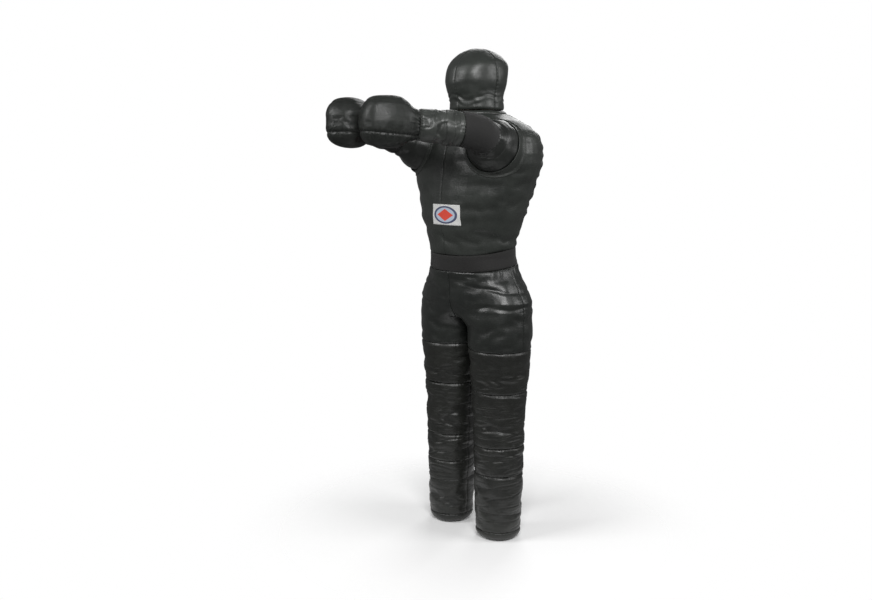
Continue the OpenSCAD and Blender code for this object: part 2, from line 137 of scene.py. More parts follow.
# ---- The trunk cover ----
# Four panels of black split leather, sewn down the front, down the back and behind each
# armhole, with a narrow band at the neck. The stuffing presses them out until the side and
# back panels gather in short level creases between their seams.


def outer_skin(*nodes):
    """A search tree over the outside of some covers."""
    points, faces = [], []
    for node in nodes:
        mesh = frame["nodes"][node].data
        first = len(points)
        points += [v.co.copy() for v in mesh.vertices]
        faces += [[first + i for i in p.vertices] for p in mesh.polygons]
    return BVHTree.FromPolygons(points, faces)


def spread(marks, step):
    """Places from the first mark to the last, about a step apart, and each mark's row."""
    places, rows = [marks[0]], [0]
    for low, high in zip(marks, marks[1:]):
        parts = max(1, round(abs(high - low) / step))
        places += [low + (high - low) * k / parts for k in range(1, parts + 1)]
        rows.append(len(places) - 1)
    return places, rows


def measured(skin, stations, around, reach=0.45, turns=None):
    """How far the cover is from each station's middle, in a ring of directions. turns gives
    each station's directions where they aren't even."""
    distance = np.full((len(stations), around), np.nan)
    out = np.zeros((len(stations), around, 3))
    for row, (middle, along, side, tilt) in enumerate(stations):
        across = along.cross(side)
        for col in range(around):
            turn = 2 * pi * col / around if turns is None else turns[row][col]
            ray = (side * cos(turn) + across * sin(turn)) * cos(tilt) + along * sin(tilt)
            out[row, col] = ray
            hit = skin.ray_cast(middle + ray * reach, -ray, reach)
            if hit[0] is not None:
                distance[row, col] = reach - hit[3]
    return distance, out


def level(values, axis, closed):
    """Each value's two neighbours along an axis."""
    if closed and axis == 1:
        return np.roll(values, 1, 1), np.roll(values, -1, 1)
    count = values.shape[axis]
    before = values.take(np.maximum(np.arange(count) - 1, 0), axis)
    after = values.take(np.minimum(np.arange(count) + 1, count - 1), axis)
    return before, after


def softened(values, times, closed=True):
    """Values averaged with their neighbours, many times over."""
    for _ in range(times):
        for axis in (0, 1):
            before, after = level(values, axis, closed)
            values = 0.5 * values + 0.25 * (before + after)
    return values


def patched(distance):
    """A measured cover with its openings filled in from the leather round them."""
    known = ~np.isnan(distance)
    full = np.where(known, distance, np.nanmean(distance))
    for _ in range(500):
        full = np.where(known, distance, softened(full, 1))
    return full


def outward(rings):
    """The direction out of the cover at each of its points."""
    left, right = level(rings, 1, True)
    below, above = level(rings, 0, True)
    normal = np.cross(right - left, above - below)
    return normal / np.maximum(np.linalg.norm(normal, axis=2, keepdims=True), 1e-12)


def ripples(points, size, shift):
    """Soft noise in space, its swells as long as size along each axis."""
    flat = (points / np.array(size) + shift).reshape(-1, 3)
    return np.array([noise.noise(Vector(p)) for p in flat]).reshape(points.shape[:-1])


def select_only(piece):
    bpy.ops.object.select_all(action="DESELECT")
    piece.select_set(True)
    bpy.context.view_layer.objects.active = piece


def ring_faces(rows, around, closed=True):
    """The four-sided faces between neighbouring rings."""
    row, col = np.mgrid[0:rows - 1, 0:around if closed else around - 1]
    following = (col + 1) % around
    return np.stack([row * around + col, row * around + following,
                     (row + 1) * around + following, (row + 1) * around + col], -1).reshape(-1, 4)


def settled(rings, middles, held, spare, shift, limit=0.008, frames=18):
    """The cover once it is stuffed. Its leather is cut larger than its place by the share
    spare. It starts inside, and is pressed out until it folds between the seams that hold it."""
    normal = outward(rings)
    uneven = ripples(rings, (0.13, 0.13, 0.040), shift) + 0.3 * ripples(rings, (0.05, 0.05, 0.018), shift + 7)
    slack = np.where(held, 0.3, 0.9)[..., None] * spare
    start = rings + (middles - rings) * slack - normal * (np.where(held, 0, 0.004) * uneven)[..., None]
    mesh = bpy.data.meshes.new("cut_leather")
    mesh.from_pydata(start.reshape(-1, 3).tolist(), [], ring_faces(*rings.shape[:2]).tolist())
    cut = bpy.data.objects.new("cut_leather", mesh)
    bpy.context.scene.collection.objects.link(cut)
    seam = cut.vertex_groups.new(name="seam")
    seam.add(np.flatnonzero(held.ravel()).tolist(), 1, "REPLACE")
    cloth = cut.modifiers.new("stuffed", "CLOTH")
    leather_cloth = cloth.settings
    leather_cloth.quality = 5
    leather_cloth.mass = 0.3
    leather_cloth.tension_stiffness = leather_cloth.compression_stiffness = 25
    leather_cloth.shear_stiffness = 8
    leather_cloth.bending_stiffness = 3
    leather_cloth.shrink_min = -spare
    leather_cloth.use_pressure = True
    leather_cloth.uniform_pressure_force = 4
    leather_cloth.effector_weights.gravity = 0
    leather_cloth.vertex_group_mass = "seam"
    cloth.collision_settings.use_collision = False
    cloth.point_cache.frame_end = frames
    for step in range(1, frames + 1):
        bpy.context.scene.frame_set(step)
    select_only(cut)
    bpy.ops.object.modifier_apply(modifier="stuffed")
    after = np.empty(len(mesh.vertices) * 3)
    cut.data.vertices.foreach_get("co", after)
    bpy.data.objects.remove(cut)
    bpy.context.scene.frame_set(1)
    moved = after.reshape(rings.shape) - rings
    rise = (moved * normal).sum(2)
    slide = moved - normal * rise[..., None]
    rise = softened(rise, 2) - softened(rise, 70)
    slide = slide - softened(slide, 70)
    slide *= np.minimum(1, 0.003 / np.maximum(np.linalg.norm(slide, axis=2, keepdims=True), 1e-9))
    rise = limit * np.tanh(rise / limit)
    return rings + slide + normal * (rise - 0.001)[..., None], rise


def finer(values, closed=True):
    """The same cover with a point between every two."""
    for axis in (0, 1):
        before, after = level(values, axis, closed)
        beyond = level(after, axis, closed)[1]
        middle = (9 * (values + after) - before - beyond) / 16
        both = np.stack([values, middle], axis + 1)
        shape = list(values.shape)
        shape[axis] *= 2
        values = both.reshape(shape)
        if not (closed and axis == 1):
            values = values.take(range(shape[axis] - 1), axis)
    return values


def sewn(rings, rows=(), cols=(), depth=0.003, width=0.004, pucker=0.0007, pitch=0.012):
    """Draws the leather in along its seams, and gathers it into small puckers beside them.
    A col is a column, its first row and its last."""
    normal = outward(rings)
    along = np.cumsum(np.linalg.norm(np.diff(rings, axis=0, prepend=rings[:1]), axis=2), axis=0)
    step = np.linalg.norm(np.roll(rings, -1, 1) - rings, axis=2)
    total = step.sum(1, keepdims=True)
    about = np.cumsum(step, axis=1) - step
    wander = ripples(rings, (0.03, 0.03, 0.03), 3.3)
    move = np.zeros(rings.shape[:2])
    for row in rows:
        away = np.abs(along - along[row])
        turns = np.round(total[row] / pitch)
        wave = np.cos(2 * pi * turns * about[row] / total[row] + 5 * wander)
        move -= depth * np.exp(-(away / width) ** 2)
        move += pucker * wave * np.exp(-away / 0.011) * (0.7 + 1.5 * wander)
    for col, first, last in cols:
        away = np.abs(about - about[:, [col]])
        away = np.minimum(away, total - away)
        inside = np.zeros(rings.shape[:2])
        inside[first:last + 1] = 1
        wave = np.cos(2 * pi * along / pitch + 5 * wander)
        move -= inside * depth * np.exp(-(away / width) ** 2)
        move += inside * pucker * wave * np.exp(-away / 0.014) * (0.7 + 1.5 * wander)
    return rings + normal * move[..., None], move


def sewn_piece(name, rings, material, fold=None, closed=True, wall=0.003, cut=None, trim=None):
    """A cover of leather or fabric with a real thickness, from its outside. Where cut is
    true it has an opening, and trim is a point and a direction that keeps what lies beyond."""
    rows, around = rings.shape[:2]
    mesh = bpy.data.meshes.new(name)
    faces = ring_faces(rows, around, closed)
    kept = np.ones(len(faces), bool) if cut is None else ~cut.ravel()[faces].all(1)
    mesh.from_pydata(rings.reshape(-1, 3).tolist(), [], faces[kept].tolist())
    about = np.linalg.norm(np.diff(rings, axis=1), axis=2).mean()
    up = np.linalg.norm(np.diff(rings, axis=0), axis=2).mean()
    row, col = np.mgrid[0:rows - 1, 0:around if closed else around - 1]
    corners = np.stack([col, row, col + 1, row, col + 1, row + 1, col, row + 1], -1)
    corners = corners.reshape(-1, 8)[kept].reshape(-1, 2)
    mesh.uv_layers.new(name="cut").data.foreach_set("uv", (corners * [about, up]).ravel())
    if fold is None:
        fold = np.zeros((rows, around))
    # fold is how far the leather is raised or sunk; the leathers turn it into painted shade in creases and
    # seams and a painted highlight on ridges.
    mesh.attributes.new("fold", "FLOAT", "POINT").data.foreach_set("value", fold.ravel().astype(np.float32))
    mesh.materials.append(material)
    mesh.shade_smooth()
    piece = bpy.data.objects.new(name, mesh)
    bpy.context.scene.collection.objects.link(piece)
    select_only(piece)
    bpy.ops.object.mode_set(mode="EDIT")
    bpy.ops.mesh.select_all(action="SELECT")
    bpy.ops.mesh.delete_loose()
    bpy.ops.mesh.remove_doubles(threshold=2e-5)
    if trim is not None:
        bpy.ops.mesh.bisect(plane_co=trim[0], plane_no=trim[1], clear_inner=True)
    bpy.ops.object.mode_set(mode="OBJECT")
    thick = piece.modifiers.new("wall", "SOLIDIFY")
    thick.thickness = wall
    thick.offset = -1
    bpy.ops.object.modifier_apply(modifier="wall")
    return piece


def stuffing(name, rings, depth=0.006):
    """The fleece inside a cover, closed at both ends."""
    inner = (rings - outward(rings) * depth)[::2, ::2]
    rows, around = inner.shape[:2]
    points = inner.reshape(-1, 3).tolist() + [inner[0].mean(0).tolist(), inner[-1].mean(0).tolist()]
    faces = ring_faces(rows, around).tolist()
    last = (rows - 1) * around
    for col in range(around):
        following = (col + 1) % around
        faces.append([rows * around, following, col])
        faces.append([rows * around + 1, last + col, last + following])
    mesh = bpy.data.meshes.new(name)
    mesh.from_pydata(points, [], faces)
    mesh.materials.append(fleece)
    mesh.shade_smooth()
    piece = bpy.data.objects.new(name, mesh)
    bpy.context.scene.collection.objects.link(piece)
    return piece


def nodes_of(name):
    """A new material, and ways to add a node and to join two."""
    material = bpy.data.materials.new(name)
    material.use_nodes = True
    tree = material.node_tree
    shader = tree.nodes["Principled BSDF"]

    def add(kind, **values):
        node = tree.nodes.new("ShaderNode" + kind)
        for key, value in values.items():
            if key in node.inputs:
                node.inputs[key].default_value = value
            else:
                setattr(node, key, value)
        return node

    def join(source, output, target, socket):
        tree.links.new(source.outputs[output], target.inputs[socket])

    return material, shader, add, join


def leather_finish(name, dark, light, rough, grain=760):
    """Smooth black cowhide: pebbled grain, fine creases across, and a soft shine; its colour is painted
    darker in the hollows and seams of its folds (painted shade) and lighter on their ridges (rubbed wear and
    painted highlight).
    """
    material, shader, add, join = nodes_of(name)
    place = add("TexCoord")
    clouds = add("TexNoise", Scale=7, Detail=4, Roughness=0.6)
    join(place, "Object", clouds, "Vector")
    tone = add("ValToRGB")
    tone.color_ramp.elements[0].position, tone.color_ramp.elements[0].color = 0.32, (*dark, 1)
    tone.color_ramp.elements[1].position, tone.color_ramp.elements[1].color = 0.72, (*light, 1)
    join(clouds, "Fac", tone, "Fac")
    # Painted shade and highlight: the fold attribute, how far the leather is raised or sunk, darkens the
    # colour to 0.72 in creases and seams and lightens it to 1.22 on ridges, partly as rubbed wear.
    folds = add("Attribute", attribute_name="fold")
    fold_shade_and_wear = add("MapRange", clamp=True)
    for socket, value in (("From Min", -0.004), ("From Max", 0.004), ("To Min", 0.72), ("To Max", 1.22)):
        fold_shade_and_wear.inputs[socket].default_value = value
    join(folds, "Fac", fold_shade_and_wear, "Value")
    shade = add("Mix", data_type="RGBA", blend_type="MULTIPLY")
    shade.inputs[0].default_value = 1
    join(tone, "Color", shade, 6)
    join(fold_shade_and_wear, "Result", shade, 7)
    join(shade, 2, shader, "Base Color")
    wipe = add("TexNoise", Scale=34, Detail=5, Roughness=0.65)
    join(place, "Object", wipe, "Vector")
    shine = add("MapRange", clamp=True)
    for socket, value in (("From Min", 0.3), ("From Max", 0.72),
                          ("To Min", rough - 0.07), ("To Max", rough + 0.10)):
        shine.inputs[socket].default_value = value
    join(wipe, "Fac", shine, "Value")
    join(shine, "Result", shader, "Roughness")
    bend = add("TexNoise", Scale=240, Detail=2)
    join(place, "Object", bend, "Vector")
    wobble = add("MixRGB", blend_type="LINEAR_LIGHT", Fac=0.002)
    join(place, "Object", wobble, "Color1")
    join(bend, "Color", wobble, "Color2")
    pebbles = add("TexVoronoi", feature="DISTANCE_TO_EDGE", Scale=grain)
    join(wobble, "Color", pebbles, "Vector")
    hide = add("Bump", Strength=0.22, Distance=0.0006)
    join(pebbles, "Distance", hide, "Height")
    stretch = add("Mapping", Scale=(45, 45, 210))
    join(place, "Object", stretch, "Vector")
    crease = add("TexNoise", Scale=1, Detail=5, Roughness=0.6)
    join(stretch, "Vector", crease, "Vector")
    crinkle = add("Bump", Strength=0.22, Distance=0.0025)
    join(crease, "Fac", crinkle, "Height")
    join(hide, "Normal", crinkle, "Normal")
    join(crinkle, "Normal", shader, "Normal")
    shader.inputs["Specular IOR Level"].default_value = 0.5
    shader.inputs["Coat Weight"].default_value = 0.12
    shader.inputs["Coat Roughness"].default_value = 0.3
    return material


def fleece_finish():
    """Shredded fleece and cloth scraps, packed tight."""
    material, shader, add, join = nodes_of("fleece")
    place = add("TexCoord")
    scraps = add("TexVoronoi", Scale=38)
    join(place, "Object", scraps, "Vector")
    tone = add("ValToRGB")
    tone.color_ramp.elements[0].color = (0.30, 0.28, 0.25, 1)
    tone.color_ramp.elements[1].color = (0.52, 0.50, 0.46, 1)
    join(scraps, "Color", tone, "Fac")
    join(tone, "Color", shader, "Base Color")
    fibres = add("TexNoise", Scale=420, Detail=4)
    join(place, "Object", fibres, "Vector")
    fuzz = add("Bump", Strength=0.6, Distance=0.002)
    join(fibres, "Fac", fuzz, "Height")
    join(fuzz, "Normal", shader, "Normal")
    shader.inputs["Roughness"].default_value = 0.95
    return material


# Painted light and shade: one black leather is given a brightness part by part; this copy, used on the trunk,
# head, neck band and armhole bindings, is lighter than the shaded copies on the hips, legs and sleeves and
# darker than the lit copy on the forearms and mittens.
leather = leather_finish("trunk_leather", (0.0150, 0.0175, 0.0152), (0.026, 0.0295, 0.026), 0.42)
fleece = fleece_finish()

band_slope = radians(7)
waist_z = joint["waist_bend"]["pos_m"][2]
band_low, band_high = waist_z - 0.030, waist_z + 0.030
neck_low, neck_top = (corner.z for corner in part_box("neck_band"))


def trunk_station(height, lean):
    """A ring's middle, its axis and its front, leaning forward by an angle."""
    return (Vector((0, 0, height)), Vector((0, -sin(lean), cos(lean))),
            Vector((0, -cos(lean), -sin(lean))), 0)


trunk_heights, trunk_rows = spread((band_high, neck_low, neck_top), 0.0056)
lean_fade = 0.16     # height over which the rings above the band come level
trunk_stations = [trunk_station(z, band_slope * max(0, 1 - (z - band_high) / lean_fade))
                  for z in trunk_heights]
trunk_round = 200
side_seam = 60      # columns from the front seam, which is 18 degrees behind the side
trunk_skin = outer_skin("torso_front_left", "torso_front_right", "torso_back_left",
                        "torso_back_right", "neck_band")
reach, out = measured(trunk_skin, trunk_stations, trunk_round)
reach = patched(reach)
middles = np.array([s[0] for s in trunk_stations])[:, None]
trunk = middles + out * reach[..., None]

arm_dir = Vector((0.355, -0.878, 0.33)).normalized()
shoulder = Vector(joint["left_shoulder_raise"]["pos_m"])
armhole_held, armhole_open, armhole_deep = 0.100, 0.0985, 0.108      # radii round the arm's axis
behind_armhole = -0.02      # the armhole starts this far along the arm


def armhole(points, side):
    """How far points are from the axis of one upper arm, and how far out along it."""
    axis = np.array(arm_dir) * [side, 1, 1]
    rel = points - np.array(shoulder) * [side, 1, 1]
    depth = rel @ axis
    return np.linalg.norm(rel - depth[..., None] * axis, axis=-1), depth


held = np.zeros(trunk.shape[:2], bool)
held[[0, trunk_rows[1], -1]] = True
held[:, [side_seam, trunk_round - side_seam, trunk_round // 2]] = True
for side in (1, -1):
    off_axis, depth = armhole(trunk, side)
    held |= (off_axis < armhole_held) & (depth > behind_armhole)
trunk, trunk_fold = settled(trunk, middles, held, 0.014, 11.0, limit=0.006)
trunk, trunk_fold = finer(trunk), finer(trunk_fold)
trunk_rows = [2 * r for r in trunk_rows]
trunk_round, side_seam = 2 * trunk_round, 2 * side_seam
last = trunk.shape[0] - 1
# the front is smooth, and the back gathers from its side seams
behind = np.clip((trunk[..., 1] - 0.03) / 0.05, 0, 1)
trunk_normal = outward(trunk)
gather = np.cos(2 * pi * trunk[..., 2] / 0.034 + 3 * ripples(trunk, (0.12, 0.12, 0.07), 5.0))
column = np.arange(trunk_round)
nearer_seam = np.where(column < trunk_round / 2, side_seam, trunk_round - side_seam)
edge_fade = np.exp(-np.abs(column - nearer_seam)[None] * 0.0035 / 0.05)
gather_move = 0.0024 * behind * edge_fade * gather
trunk = trunk + trunk_normal * gather_move[..., None]
trunk, draw = sewn(trunk, rows=(0, trunk_rows[1], last),
                   cols=((side_seam, 0, trunk_rows[1]), (trunk_round - side_seam, 0, trunk_rows[1]),
                         (trunk_round // 2, 0, trunk_rows[1])), depth=0.0035, pucker=0.0007)
trunk, front_draw = sewn(trunk, cols=((0, 0, trunk_rows[1]),), depth=0.0012, width=0.003, pucker=0.0002)
trunk_fold = trunk_fold + gather_move + draw + front_draw

trunk_panels = {
    "torso_front_left": (0, side_seam), "torso_back_left": (side_seam, trunk_round // 2),
    "torso_back_right": (trunk_round // 2, trunk_round - side_seam),
    "torso_front_right": (trunk_round - side_seam, trunk_round),
}
for name, (first_col, last_col) in trunk_panels.items():
    cols = [c % trunk_round for c in range(first_col, last_col + 1)]
    rings = trunk[:trunk_rows[1] + 1][:, cols]
    fold = trunk_fold[:trunk_rows[1] + 1][:, cols]
    cut = np.zeros(rings.shape[:2], bool)
    for side in (1, -1):
        off_axis, depth = armhole(rings, side)
        cut |= (off_axis < armhole_open) & (depth > behind_armhole)
    piece = sewn_piece(name + "_panel", rings, leather, fold, closed=False, cut=cut)
    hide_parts(name)
    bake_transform(piece)

piece = sewn_piece("neck_band_strip", trunk[trunk_rows[1]:], leather, trunk_fold[trunk_rows[1]:])
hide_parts("neck_band")
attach(piece, "torso")
core = trunk[::2, ::2].copy()
for side in (1, -1):
    off_axis, depth = armhole(core, side)
    deep = np.where(off_axis < armhole_deep, np.maximum(depth - 0.004, 0), 0)
    core -= deep[..., None] * (np.array(arm_dir) * [side, 1, 1])
piece = stuffing("torso_fleece", core)
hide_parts("torso_stuffing")
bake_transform(piece)


# ---- The head ----
# Two front panels and one back panel of the same leather, sewn down the middle of the face
# and over the crown from side to side. It has no features, and folds at the neck.

head_low, head_top = (corner.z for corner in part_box("head_back"))
head_middle = head_top - 0.108
up = Vector((0, 0, 1))
front = Vector((0, -1, 0))
head_heights, _ = spread((head_low, head_middle), 0.0046)
head_tilts, _ = spread((0, radians(88)), radians(2.5))
head_stations = [(Vector((0, 0, z)), up, front, 0) for z in head_heights]
head_stations += [(Vector((0, 0, head_middle)), up, front, t) for t in head_tilts[1:]]
head_skin = outer_skin("head_front_left", "head_front_right", "head_back")
head_round = 120
reach, out = measured(head_skin, head_stations, head_round, reach=0.2)
reach = softened(patched(reach), 4)
middles = np.array([s[0] for s in head_stations])[:, None]
head = middles + out * reach[..., None]
held = np.zeros(head.shape[:2], bool)
held[[0, -1]] = True
held[:, [head_round // 4, 3 * head_round // 4]] = True
head, head_fold = settled(head, middles, held, 0.010, 4.0, limit=0.003)
head, head_fold = finer(head), finer(head_fold)
head_round *= 2
last = head.shape[0] - 1
# folds across the neck and under the chin
low_head = np.exp(-((head[..., 2] - head_low - 0.035) / 0.022) ** 2)
neck_wave = 2 * pi * head[..., 2] / 0.024 + 7 * ripples(head, (0.06, 0.06, 0.05), 9.0)
neck_folds = 0.0011 * low_head * np.cos(neck_wave)
head = head + outward(head) * neck_folds[..., None]
head, draw = sewn(head, rows=(0,), cols=((head_round // 4, 0, last), (3 * head_round // 4, 0, last)),
                  depth=0.003, pucker=0.0005, pitch=0.013)
head, face_draw = sewn(head, cols=((0, 0, last),), depth=0.0014, width=0.003, pucker=0.0002)
head_fold = head_fold + neck_folds + draw + face_draw
head[-1] = head[-1].mean(0)
head_panels = {"head_front_left": (0, head_round // 4), "head_front_right": (3 * head_round // 4, head_round),
               "head_back": (head_round // 4, 3 * head_round // 4)}
for name, (first_col, last_col) in head_panels.items():
    cols = [c % head_round for c in range(first_col, last_col + 1)]
    piece = sewn_piece(name + "_panel", head[:, cols], leather, head_fold[:, cols], closed=False)
    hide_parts(name)
    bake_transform(piece)
piece = stuffing("head_fleece", head[:-1:2, ::2])
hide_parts("head_stuffing")
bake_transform(piece)

# ---- The waist band ----
# A wide elastic band of black webbing, stitched to the trunk and to the hips, which lets
# the dummy bend in the middle.


def webbing_finish(name, colour, rib):
    """Matte woven elastic, its ribs running round the body."""
    material, shader, add, join = nodes_of(name)
    place = add("UVMap")
    place.uv_map = "cut"
    ribs = add("TexWave", wave_type="BANDS", bands_direction="Y", Scale=rib, Distortion=0.4, Detail=2)
    join(place, "UV", ribs, "Vector")
    yarn = add("TexWave", wave_type="BANDS", bands_direction="X", Scale=rib * 1.4, Distortion=0.6, Detail=2)
    join(place, "UV", yarn, "Vector")
    weave = add("Math", operation="MULTIPLY")
    join(ribs, "Fac", weave, 0)
    join(yarn, "Fac", weave, 1)
    tone = add("ValToRGB")
    tone.color_ramp.elements[0].color = (*[c * 0.6 for c in colour], 1)
    tone.color_ramp.elements[1].color = (*[c * 1.35 for c in colour], 1)
    join(weave, "Value", tone, "Fac")
    join(tone, "Color", shader, "Base Color")
    cloth_bump = add("Bump", Strength=0.5, Distance=0.0006)
    join(weave, "Value", cloth_bump, "Height")
    join(cloth_bump, "Normal", shader, "Normal")
    shader.inputs["Roughness"].default_value = 0.82
    shader.inputs["Sheen Weight"].default_value = 0.06
    return material


webbing = webbing_finish("waist_webbing", (0.0062, 0.0056, 0.0052), 120)
band_heights, _ = spread((band_low, band_high), 0.0033)
band_stations = [trunk_station(z, band_slope) for z in band_heights]
band_round = 240
reach, out = measured(outer_skin("waist_band"), band_stations, band_round)
reach = softened(patched(reach), 2)
band_middles = np.array([s[0] for s in band_stations])[:, None]
band = band_middles + out * reach[..., None]
across_band = np.linspace(-1, 1, len(band_heights))[:, None]
band_wave = 0.0012 * ripples(band, (0.05, 0.05, 0.06), 2.0) - 0.0022 * np.abs(across_band) ** 8
band = band + outward(band) * band_wave[..., None]
piece = sewn_piece("waist_band_webbing", band, webbing, band_wave, wall=0.002)
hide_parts("waist_band")
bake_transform(piece)

# ---- The hips ----
# Two front and two back panels, sewn down the middle, down each side and down the inside of
# each leg. The seat and hips are packed hard, so that the leather is smooth but for a few
# long creases running round.

# Painted shade: the trunk's black leather again, made darker for the hips.
shaded_hip_leather = leather_finish("shaded_hip_leather", (0.0070, 0.0083, 0.0074), (0.0125, 0.0145, 0.0126), 0.37)
thigh_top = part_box("left_thigh_cover")[1].z
crotch_z = joint["left_hip_flex"]["pos_m"][2] - 0.083
leg_x = joint["left_hip_flex"]["pos_m"][0]
hip_round = 128
front_corner, back_corner = 114, 78     # the columns that lie on the middle seam


def on_side(rings, side):
    """Rings of the left side, or the same on the right, still turned outwards."""
    if side > 0:
        return rings
    mirrored = rings * [-1, 1, 1]
    return np.roll(mirrored[:, ::-1], 1, axis=1)


hip_skin = outer_skin("hip_front_left", "hip_back_left")
heights, hip_rows = spread((thigh_top, crotch_z, band_low), 0.0058)
stations, turns = [], []
for z in heights:
    lean = band_slope * max(0, 1 - (band_low - z) / 0.09)
    step_in = 0.035 * max(0, min(1, (z - crotch_z) / (band_low - crotch_z)))
    x = leg_x - step_in
    stations.append((Vector((x, 0, z)),) + trunk_station(z, lean)[1:])
    corners = []
    on_seam = Vector((0.003, 0, min(max(z, crotch_z + 0.004), band_low - 0.002)))
    for facing in (stations[-1][2], -stations[-1][2]):
        hit = hip_skin.ray_cast(on_seam + facing * 0.4, -facing, 0.4)[0]
        corners.append(atan2(x, (hit - on_seam).length if hit else 0.12))
    turns.append(np.interp(
        np.arange(hip_round),
        (0, hip_round / 2, back_corner, hip_round * 3 / 4, front_corner, hip_round),
        (0, pi, pi + corners[1], 1.5 * pi, 2 * pi - corners[0], 2 * pi)))
reach, out = measured(hip_skin, stations, hip_round, turns=turns)
hip_middles = np.array([s[0] for s in stations])[:, None]
to_middle = np.where(out[..., 0] < -1e-6, np.abs(hip_middles[..., 0] / np.minimum(out[..., 0], -1e-6)), 9)
above_crotch = np.array(heights)[:, None] - crotch_z
open_side = np.isnan(reach) & (above_crotch > 0)
open_side[:, :back_corner] = open_side[:, front_corner + 1:] = False
reach = patched(np.where(open_side | (reach > to_middle), to_middle, reach))
soft = reach
for _ in range(40):
    soft = np.minimum(softened(soft, 1), to_middle)
near = np.exp(-(above_crotch / 0.035) ** 2) * (out[..., 0] < 0.35)
hip_left = hip_middles + out * (reach * (1 - near) + soft * near)[..., None]
between = np.zeros(hip_left.shape[:2], bool)
between[hip_rows[1] + 2:, back_corner:front_corner + 1] = True
hip_left[..., 0] = np.where(between, 0.0004, np.maximum(hip_left[..., 0], 0.0004))

for side, name in ((1, "left"), (-1, "right")):
    hip, middles = on_side(hip_left, side), hip_middles * [side, 1, 1]
    wall = on_side(between[..., None] * np.ones(3), side)[..., 1] > 0
    held = wall.copy()
    held[[0, -1]] = True
    held[:, [hip_round // 4, 3 * hip_round // 4]] = True
    hip, fold = settled(hip, middles, held, 0.012, 20.0 + side, limit=0.005)
    hip[..., 0] = np.where(wall, side * 0.0004, hip[..., 0])
    hip, fold = finer(hip), finer(fold)
    around = 2 * hip_round
    last = hip.shape[0] - 1
    # long creases over the hip
    outer = np.clip(side * hip[..., 0] / 0.2, 0, 1)
    upper = hip[..., 2] - 0.925 - 0.03 * (1 - outer) + 0.012 * ripples(hip, (0.1, 0.1, 9), 1.0)
    lower = hip[..., 2] - 0.868 + 0.02 * ripples(hip, (0.12, 0.12, 9), 6.0)
    long_crease = -0.0032 * outer * np.exp(-(upper / 0.006) ** 2)
    long_crease -= 0.0025 * outer * np.exp(-(lower / 0.007) ** 2)
    hip = hip + outward(hip) * long_crease[..., None]
    hip, draw = sewn(hip, rows=(0, last), depth=0.003, pucker=0.0006)
    middle_cols = [2 * c if side > 0 else (around - 2 * c) % around for c in (front_corner, back_corner)]
    hip, middle_draw = sewn(hip, cols=[(c, 2 * hip_rows[1], last) for c in middle_cols],
                            depth=0.0010, width=0.0035, pucker=0.0002)
    hip, side_draw = sewn(hip, cols=((around // 4, 0, last), (3 * around // 4, 0, 2 * hip_rows[1])),
                          depth=0.0012, width=0.003, pucker=0.0003)
    fold = fold + draw + long_crease + middle_draw + side_draw
    hip[..., 0] = side * np.maximum(side * hip[..., 0], 0.0004)
    quarter = around // 4
    panels = {"front": range(-quarter, quarter + 1), "back": range(quarter, 3 * quarter + 1)}
    for part, columns in panels.items():
        cols = [c % around for c in columns]
        piece = sewn_piece(f"hip_{part}_{name}_panel", hip[:, cols], shaded_hip_leather, fold[:, cols], closed=False)
        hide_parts(f"hip_{part}_{name}")
        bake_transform(piece)
    piece = stuffing(f"hip_fleece_{name}", hip[::2, ::2])
    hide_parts("hip_stuffing", f"{name}_thigh_stuffing")
    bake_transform(piece)
